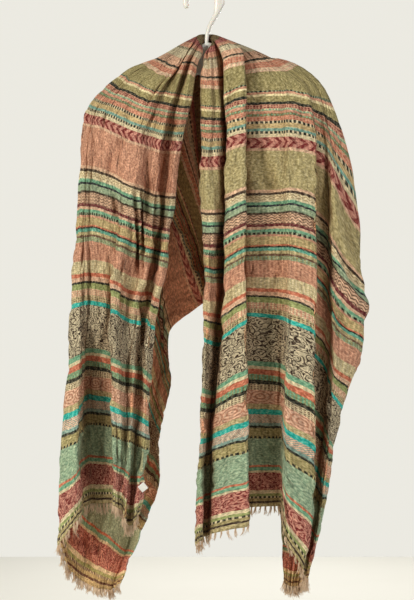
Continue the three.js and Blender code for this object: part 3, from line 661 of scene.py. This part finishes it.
def weave_nodes(tree, wrong):
    """The striped jacquard weave: its colour, with painted shade and light, and its relief, on the
    right or the wrong side.
    """
    weave_map = add(tree, "UVMap", uv_map="cloth")
    parts = add(tree, "SeparateXYZ", {0: weave_map})
    signed, across = parts.outputs[0], parts.outputs[1]
    length = add(tree, "Math", {0: signed}, operation="ABSOLUTE")
    # the picks are beaten up unevenly: a stripe's edge wanders, and threads notch it every 3 mm
    even = add(tree, "CombineXYZ", {0: length, 1: across})
    slow = add(tree, "TexNoise", {"Vector": even, "Scale": cell_scale(71.43), "Detail": 3.0})
    notched = add(tree, "TexNoise", {"Vector": even, "Scale": cell_scale(3.03), "Detail": 1.0})
    slow_shift = add(tree, "Math", {0: slow, 1: 8 * MM, 2: -5.2 * MM}, operation="MULTIPLY_ADD")
    shift = add(tree, "Math", {0: notched, 1: 2.4 * MM, 2: slow_shift}, operation="MULTIPLY_ADD")
    length = add(tree, "Math", {0: length, 1: shift}, operation="ADD")
    place = add(tree, "CombineXYZ", {0: length, 1: across})

    ground = stripe_colours(tree, length, [linear(YARNS[row.ground]) for row in STRIPES])
    figure = stripe_colours(tree, length, [linear(YARNS[row.second or row.ground])
                                           for row in STRIPES])
    floats = small_repeats(tree, length, across)
    floats["scrolls"] = curling_leaves(tree, place, 9, 0.07)
    floats["paisley"] = curling_leaves(tree, place, 9.5, 0.085)
    floats["chevrons"] = chevron_row(tree, signed, length, across)
    floats["medallions"] = medallion_row(tree, length, across)
    covered = 0.0
    for first in range(0, len(FIGURES), 3):
        some = FIGURES[first:first + 3]
        chosen = stripe_colours(tree, length, [
            [float(k < len(some) and row.figure == some[k]) for k in range(3)] + [1.0]
            for row in STRIPES])
        apart = add(tree, "SeparateXYZ", {0: chosen})
        for k, kind in enumerate(some):
            covered = add(tree, "Math", {0: apart.outputs[k], 1: floats[kind], 2: covered},
                          operation="MULTIPLY_ADD")
    woven = add(tree, "Mix", {"Factor": covered, 6: ground, 7: figure}, data_type="RGBA")

    # the wide band has a yarn of its own on the right half
    middle, width = stripe_middle("wide band")
    right_half = add(tree, "Math", {0: signed, 1: 0.0}, operation="GREATER_THAN")
    beyond = add(tree, "Math", {0: length, 1: middle, 2: width / 2}, operation="COMPARE")
    in_band = add(tree, "Math", {0: right_half, 1: beyond}, operation="MULTIPLY")
    olive = add(tree, "Mix", {"Factor": floats["scrolls"], 6: linear(YARNS["olive"]),
                              7: linear(YARNS["olive_pale"])}, data_type="RGBA")
    woven = add(tree, "Mix", {"Factor": in_band, 6: woven.outputs[2], 7: olive.outputs[2]},
                data_type="RGBA")

    # heathered yarn: beige threads show through in 3 mm flecks, and some are lighter or darker
    heather = add(tree, "TexNoise", {"Vector": place, "Scale": cell_scale(3.226), "Detail": 3.0})
    show = add(tree, "MapRange", {"Value": heather, "From Min": 0.45, "From Max": 0.80,
                                  "To Max": 0.28})
    beige = linear(YARNS["beige_warp"])
    woven = add(tree, "Mix", {"Factor": show, 6: woven.outputs[2], 7: beige}, data_type="RGBA")
    slubs = add(tree, "VectorMath", {0: place, 1: (0.22, 1.0, 1.0)}, operation="MULTIPLY")
    streaks = add(tree, "TexNoise", {"Vector": slubs, "Scale": cell_scale(3.333), "Detail": 3.0})
    shade = add(tree, "MapRange", {"Value": streaks, "From Min": 0.3, "From Max": 0.7,
                                   "To Min": 0.80, "To Max": 1.22})
    patches = add(tree, "TexNoise", {"Vector": place, "Scale": cell_scale(90.91), "Detail": 2.0})
    fade = add(tree, "MapRange", {"Value": patches, "From Min": 0.3, "From Max": 0.7,
                                  "To Min": 0.92, "To Max": 1.07})
    flecks = add(tree, "MapRange", {"Value": heather, "From Min": 0.3, "From Max": 0.7,
                                    "To Min": 0.58, "To Max": 1.38})
    mottle = add(tree, "Math", {0: shade, 1: fade}, operation="MULTIPLY")
    mottle = add(tree, "Math", {0: mottle, 1: flecks}, operation="MULTIPLY")
    woven = add(tree, "VectorMath", {0: woven.outputs[2], "Scale": mottle}, operation="SCALE")
    # painted shade: little light reaches the bottom of a fold, and it has turned warm from cloth to
    # cloth, so the colour is painted darker and warmer where the occlusion finds cloth close by,
    # and a little lighter on the open cloth
    open_sky = add(tree, "AmbientOcclusion", {"Distance": 75 * MM}, samples=6, only_local=True)
    reached = add(tree, "MapRange", {"Value": open_sky.outputs["AO"], "From Min": 0.2,
                                     "From Max": 0.95})
    painted_fold_shade = add(tree, "Mix", {"Factor": reached, 6: PAINTED_LIGHT["fold"], 7: PAINTED_LIGHT["open"]},
                 data_type="RGBA")
    # painted light: the wrong side's colour is made brighter, a painted glow for the light that
    # comes through the thin cloth
    painted_tint = PAINTED_LIGHT["through"] if wrong else painted_fold_shade.outputs[2]
    woven = add(tree, "VectorMath", {0: woven, 1: painted_tint}, operation="MULTIPLY")
    if wrong:
        # the wrong side shows the long floats of the brown and red yarns
        woven = add(tree, "Mix", {"Factor": 0.26, 6: woven, 7: linear(YARNS["floats"])},
                    data_type="RGBA").outputs[2]

    # slack warp yarns 1.8 mm apart, crossed by picks 2.2 mm apart
    warp = add(tree, "TexWave", {"Vector": place, "Scale": band_scale(1.777), "Distortion": 1.5,
                                 "Detail": 1.0}, bands_direction="Y")
    weft = add(tree, "TexWave", {"Vector": place, "Scale": band_scale(2.171), "Distortion": 1.5,
                                 "Detail": 1.0}, bands_direction="X")
    threads = add(tree, "Math", {0: warp, 1: weft}, operation="MULTIPLY")
    relief = add(tree, "Math", {0: covered, 1: 0.5, 2: threads}, operation="MULTIPLY_ADD")
    fine = add(tree, "Bump", {"Height": relief, "Strength": 0.5, "Distance": 0.35 * MM})
    # the crinkle of a washed weave: short puckers 8 mm across that run lengthwise
    puckers = add(tree, "TexNoise", {"Vector": slubs, "Scale": cell_scale(8.333), "Detail": 3.0})
    crinkled = add(tree, "Bump", {"Height": puckers, "Strength": 1.0, "Distance": 5.0 * MM,
                                  "Normal": fine})
    # thin sharp creases about 35 mm apart and 1.8 mm deep, each dying out where the cloth is flat
    stretched = add(tree, "VectorMath", {0: place, 1: (0.4, 1.0, 1.0)}, operation="MULTIPLY")
    bent = add(tree, "TexNoise", {"Vector": stretched, "Scale": cell_scale(35.71), "Detail": 2.0,
                                  "Distortion": 0.8})
    offset = add(tree, "Math", {0: bent, 1: 0.5}, operation="SUBTRACT")
    beside = add(tree, "Math", {0: offset}, operation="ABSOLUTE")
    taut = add(tree, "TexNoise", {"Vector": place, "Scale": cell_scale(25), "Detail": 1.0})
    flat = add(tree, "MapRange", {"Value": taut, "From Min": 0.42, "From Max": 0.54})
    groove = add(tree, "MapRange", {"Value": beside, "From Max": 0.035, "To Min": flat})
    bump = add(tree, "Bump", {"Height": groove, "Strength": 1.0, "Distance": 1.8 * MM,
                              "Normal": crinkled})
    return woven, bump


def jacquard_cotton(name, wrong):
    """Cotton and viscose, jacquard woven: matt, with a soft glow from the loose fibre."""
    material, tree = new_material(name)
    woven, bump = weave_nodes(tree, wrong)
    finish_surface(tree, {"Base Color": woven, "Normal": bump, "Roughness": 0.9, "IOR": 1.47,
                          "Specular IOR Level": 0.2, "Sheen Weight": 0.08,
                          "Sheen Roughness": 0.5, "Sheen Tint": linear("#F2ECDD")})
    return material


def loose_yarn():
    """The same yarn, spun and left free: matt, each strand a little lighter or darker."""
    material, tree = new_material("spun_cotton_fringe")
    where = add(tree, "TexCoord").outputs["Object"]
    tone = add(tree, "TexNoise", {"Vector": where, "Scale": cell_scale(16.67)})
    colour = add(tree, "Mix", {"Factor": tone, 6: linear("#CFA278"), 7: linear("#F8E4C6")},
                 data_type="RGBA")
    # one turn of the twist every 1.2 mm
    twist = add(tree, "TexWave", {"Vector": where, "Scale": band_scale(1.208), "Distortion": 2.0},
                bands_direction="Z")
    bump = add(tree, "Bump", {"Height": twist, "Strength": 0.5, "Distance": 0.3 * MM})
    finish_surface(tree, {"Base Color": colour.outputs[2], "Normal": bump, "Roughness": 0.9,
                          "IOR": 1.47, "Specular IOR Level": 0.2, "Sheen Weight": 0.3,
                          "Sheen Roughness": 0.5})
    return material


def moulded_polystyrene():
    """White polystyrene, injection moulded: half gloss, with faint ripples 6 mm across."""
    material, tree = new_material("moulded_polystyrene")
    where = add(tree, "TexCoord").outputs["Object"]
    cloud = add(tree, "TexNoise", {"Vector": where, "Scale": cell_scale(33.33)})
    colour = add(tree, "Mix", {"Factor": cloud, 6: linear("#E9E4D6"), 7: linear("#F3EFE6")},
                 data_type="RGBA")
    gloss = add(tree, "MapRange", {"Value": cloud, "To Min": 0.24, "To Max": 0.42})
    ripple = add(tree, "TexNoise", {"Vector": where, "Scale": cell_scale(5.556)})
    bump = add(tree, "Bump", {"Height": ripple, "Strength": 0.15, "Distance": 0.4 * MM})
    finish_surface(tree, {"Base Color": colour.outputs[2], "Normal": bump, "Roughness": gloss,
                          "IOR": 1.59, "Subsurface Weight": 0.1, "Subsurface Scale": 0.004})
    return material


def woven_tape():
    """White polyester tape, plain woven: fine cross ribs and a slight satin glow."""
    material, tree = new_material("woven_polyester_tape")
    where = add(tree, "TexCoord").outputs["Object"]
    # ribs 1.6 mm apart
    ribs = add(tree, "TexWave", {"Vector": where, "Scale": band_scale(1.579)})
    colour = add(tree, "Mix", {"Factor": ribs, 6: linear("#E4E1D8"), 7: linear("#F6F4EE")},
                 data_type="RGBA")
    bump = add(tree, "Bump", {"Height": ribs, "Strength": 0.4, "Distance": 0.2 * MM})
    finish_surface(tree, {"Base Color": colour.outputs[2], "Normal": bump, "Roughness": 0.6,
                          "IOR": 1.5, "Sheen Weight": 0.1})
    return material


def matt_board():
    """Painted board, rolled: matt and pale, with the roller's faint mottle."""
    material, tree = new_material("rolled_paint_floor")
    where = add(tree, "TexCoord").outputs["Object"]
    mottle = add(tree, "TexNoise", {"Vector": where, "Scale": cell_scale(333.3), "Detail": 4.0})
    colour = add(tree, "Mix", {"Factor": mottle, 6: linear("#ECEAE2"), 7: linear("#F2F0E9")},
                 data_type="RGBA")
    finish_surface(tree, {"Base Color": colour.outputs[2], "Roughness": 0.8,
                          "Specular IOR Level": 0.3})
    return material


# ---- The hanger ----
def ring(centre, first, second, radius_a, radius_b, sides):
    return [centre + first * (radius_a * math.cos(2 * math.pi * k / sides))
            + second * (radius_b * math.sin(2 * math.pi * k / sides)) for k in range(sides)]


def loft(rings, vertices, faces):
    """Adds a closed skin over rings that all have the same count of points."""
    count = len(rings[0])
    base = len(vertices)
    for one in rings:
        vertices.extend(one)
    for i in range(len(rings) - 1):
        for j in range(count):
            a, b = base + i * count + j, base + i * count + (j + 1) % count
            faces.append((a, a + count, b + count, b))
    faces.append([base + j for j in range(count)])
    last = base + (len(rings) - 1) * count
    faces.append([last + j for j in reversed(range(count))])


def arm_top(side):
    """The height of the arm's upper edge, which slopes and then bends down at its tip."""
    slope = ARM["slope_left"] if side < STEM_SIDE else ARM["slope_right"]
    reach = abs(side - STEM_SIDE)
    past = max(0, reach - ARM["bend_from"]) / ARM["bend_length"]
    return -ARM["top_drop"] - slope * reach - ARM["bend"] * past ** 3


def hanger_piece(material):
    vertices, faces = [], []
    forward = Vector((0, 1, 0))
    middle = Vector((0, 0, -HOOK["inside"]))
    rings = []
    tip = [(0.35, 0), (0.75, 0)]                        # the tip is rounded off in two steps
    for squeeze, part in tip + [(1, k / HOOK["steps"]) for k in range(HOOK["steps"] + 1)]:
        angle = math.radians(HOOK["from"] + (HOOK["to"] - HOOK["from"]) * part)
        angle += math.radians(8 * (1 - squeeze))
        outward = Vector((math.cos(angle), 0, math.sin(angle)))
        radius = HOOK["tip_radius"] + HOOK["growth"] * part
        centre = middle + outward * (HOOK["inside"] + radius)
        rings.append(ring(centre, outward, forward, radius * squeeze, HOOK["depth"] * squeeze,
                          HOOK["sides"]))
    drops = [row[1] for row in STEM_LINE]
    finer = np.linspace(drops[0], drops[-1], 16)
    line = curve(drops, [[row[0], row[2]] for row in STEM_LINE], finer)
    slant = Vector((0.86, 0, 0.5))                      # square to the stem, which leans
    for (side, radius), drop in zip(line, finer):
        rings.append(ring(Vector((side, 0, -drop)), slant, forward, radius, HOOK["depth"],
                          HOOK["sides"]))
    loft(rings, vertices, faces)
    rings = []
    deep = ARM["half_depth"]
    for side in np.linspace(ARM["left"], ARM["right"], ARM["sections"]):
        share = min(1, abs(side - STEM_SIDE) / ARM["taper"])
        height = ARM["root_height"] + (ARM["tip_height"] - ARM["root_height"]) * share ** 0.8
        top = arm_top(side)
        # a rounded top rail, a thin web under it and a rounded bottom rail
        section = TOP_RAIL + [(out, height - up) for out, up in BOTTOM_RAIL]
        section += [(-out, down) for out, down in reversed(section[1:])]
        rings.append([Vector((side, out * deep, top - down)) for out, down in section])
    loft(rings, vertices, faces)
    return new_object("hanger_moulding", [v * MM for v in vertices], faces, material)


# ---- Fringe ----
FRINGE = {"tassels": 124, "strands": 8, "length": (10, 20), "thickness": (0.5, 0.85), "steps": 4,
          "sides": 3, "seed": {"left": 11, "right": 7}}


def fringe_piece(name, points, half, material):
    """Tassels of loose strands knotted out of the hem, uneven in length and in their lean."""
    chance = random.Random(FRINGE["seed"][half])
    last, before = (0, 1) if half == "left" else (-1, -2)
    hem, inner = points[last], points[before]
    normal = normals_of(points)[last]
    vertices, faces = [], []
    for k in range(FRINGE["tassels"]):
        spot = (k + 0.5) / FRINGE["tassels"] * (len(ACROSSES) - 1)
        i = int(spot)
        share = spot - i
        root = Vector(hem[i] * (1 - share) + hem[min(i + 1, len(hem) - 1)] * share)
        flow = Vector(hem[i] - inner[i]).normalized()
        out = Vector(normal[i])
        beside = flow.cross(out).normalized()
        lean = beside * chance.uniform(-0.35, 0.35) + out * chance.uniform(-0.2, 0.2)
        length = chance.uniform(*FRINGE["length"])
        for strand in range(FRINGE["strands"]):
            start = root + beside * chance.uniform(-1.6, 1.6) + out * chance.uniform(-0.5, 0.5)
            spread = beside * chance.uniform(-0.3, 0.3) + out * chance.uniform(-0.2, 0.2)
            reach = length * chance.uniform(0.75, 1.1)
            thick = chance.uniform(*FRINGE["thickness"])
            rings = []
            for step in range(FRINGE["steps"] + 1):
                t = step / FRINGE["steps"]
                down = flow * (1 - t) + Vector((0, 0, -1)) * t
                centre = start + (down + (lean + spread) * t) * (reach * t)
                centre += beside * (0.5 * math.sin(5 * t + strand))
                radius = thick * (1 - 0.5 * t)
                rings.append(ring(centre, beside, out, radius, radius, FRINGE["sides"]))
            loft(rings, vertices, faces)
    return new_object(name, [v * MM for v in vertices], faces, material)


# ---- The bare label ----
LABEL = {"side": 13, "thickness": 0.7, "along": -850, "turn": 40, "inside": 3, "proud": 28,
         "curl": 0.9, "steps": 8}


def label_piece(points, material):
    """A square of tape at the left fall's front edge, set on its corner and a little curled."""
    row = int(np.argmin(np.abs(ALONGS - LABEL["along"])))
    edge = Vector(points[row, 0])
    centre = edge - Vector((LABEL["inside"], LABEL["proud"], 0))
    vertices, faces = [], []
    steps = LABEL["steps"]
    half = LABEL["side"] / 2
    turn = math.radians(LABEL["turn"])
    for layer in (1, -1):
        for i in range(steps + 1):
            for j in range(steps + 1):
                x, z = half * (2 * i / steps - 1), half * (2 * j / steps - 1)
                curl = LABEL["curl"] * math.sin(1.6 * x / half) * (z / half)
                y = -layer * LABEL["thickness"] / 2 + curl
                vertices.append(centre + Vector((x * math.cos(turn) - z * math.sin(turn), y,
                                                 x * math.sin(turn) + z * math.cos(turn))))
    count = (steps + 1) ** 2

    def at(i, j):
        return i * (steps + 1) + j

    for i in range(steps):
        for j in range(steps):
            faces.append((at(i, j), at(i + 1, j), at(i + 1, j + 1), at(i, j + 1)))
            faces.append((count + at(i, j), count + at(i, j + 1), count + at(i + 1, j + 1),
                          count + at(i + 1, j)))
    rim = [at(i, 0) for i in range(steps)] + [at(steps, j) for j in range(steps)]
    rim += [at(i, steps) for i in range(steps, 0, -1)] + [at(0, j) for j in range(steps, 0, -1)]
    for a, b in zip(rim, rim[1:] + rim[:1]):
        faces.append((a, a + count, b + count, b))
    return new_object("care_label_tape", [v * MM for v in vertices], faces, material)


# ---- Build ----
cloth = crumpled(cloth_surface())
right_side = jacquard_cotton("jacquard_woven_cotton", wrong=False)
wrong_side = jacquard_cotton("jacquard_woven_cotton_back", wrong=True)
yarn = loose_yarn()

scarf = cloth_piece(cloth, right_side, wrong_side)
left_tassels = fringe_piece("left_tassels", cloth, "left", yarn)
right_tassels = fringe_piece("right_tassels", cloth, "right", yarn)
label = label_piece(cloth, woven_tape())
hanger = hanger_piece(moulded_polystyrene())

for piece, node, slot in [(left_tassels, "left_fringe", "fringe_yarn"),
                          (right_tassels, "right_fringe", "fringe_yarn"),
                          (label, "care_label", "label_tape"),
                          (hanger, "hanger", "hanger_plastic")]:
    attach(piece, "root")
    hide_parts(node)
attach(scarf, "root")
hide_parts("shoulder_stretch", "left_fall", "right_fall")

# ---- Floor, light and camera ----
FLOOR_DROP = 1.30
bpy.ops.mesh.primitive_grid_add(x_subdivisions=4, y_subdivisions=4, size=4.1,
                                location=(0, 0, -FLOOR_DROP))
floor = bpy.context.object
floor.name = "floor"
floor.data.materials.append(matt_board())

world = bpy.data.worlds.new("studio")
world.use_nodes = True
world.node_tree.nodes.clear()
seen = add(world.node_tree, "LightPath").outputs["Is Camera Ray"]
glow = add(world.node_tree, "MapRange", {"Value": seen, "To Min": 0.25, "To Max": 0.86})
backdrop = add(world.node_tree, "Background", {"Color": linear("#FCFAF1"), "Strength": glow})
add(world.node_tree, "OutputWorld", {"Surface": backdrop})
bpy.context.scene.world = world


def soft_light(name, place, size, power, colour, target=(0, 0, -0.5)):
    lamp = bpy.data.lights.new(name, "AREA")
    lamp.shape = "SQUARE"
    lamp.size = size
    lamp.energy = power
    lamp.color = linear(colour)[:3]
    holder = bpy.data.objects.new(name, lamp)
    holder.location = place
    holder.visible_camera = False
    aim = Vector(target) - Vector(place)
    holder.rotation_euler = aim.to_track_quat("-Z", "Y").to_euler()
    bpy.context.collection.objects.link(holder)


soft_light("key", (-2.3, -1.9, 0.6), 0.7, 66, "#FFFDF6")
soft_light("fill", (2.3, -1.8, 0.4), 1.0, 29, "#FBFAFF")
soft_light("back", (0.4, 2.2, 0.4), 1.2, 30, "#FFFDF6")
soft_light("floor_wash", (0, 1.7, 0.1), 1.6, 4.4, "#FDFDFB", (0, 1.7, -FLOOR_DROP))

CAMERA = {"distance": 3.0, "view_height": 1.05, "sensor": 24, "side": 0.0096, "drop": 0.5434}
camera_data = bpy.data.cameras.new("camera")
camera_data.sensor_fit = "VERTICAL"
camera_data.sensor_height = CAMERA["sensor"]
camera_data.lens = CAMERA["sensor"] * CAMERA["distance"] / CAMERA["view_height"]
camera = bpy.data.objects.new("camera", camera_data)
camera.location = (CAMERA["side"], -CAMERA["distance"], -CAMERA["drop"])
camera.rotation_euler = (math.radians(90), 0, 0)
bpy.context.collection.objects.link(camera)
bpy.context.scene.camera = camera
bpy.context.scene.view_settings.view_transform = "Standard"
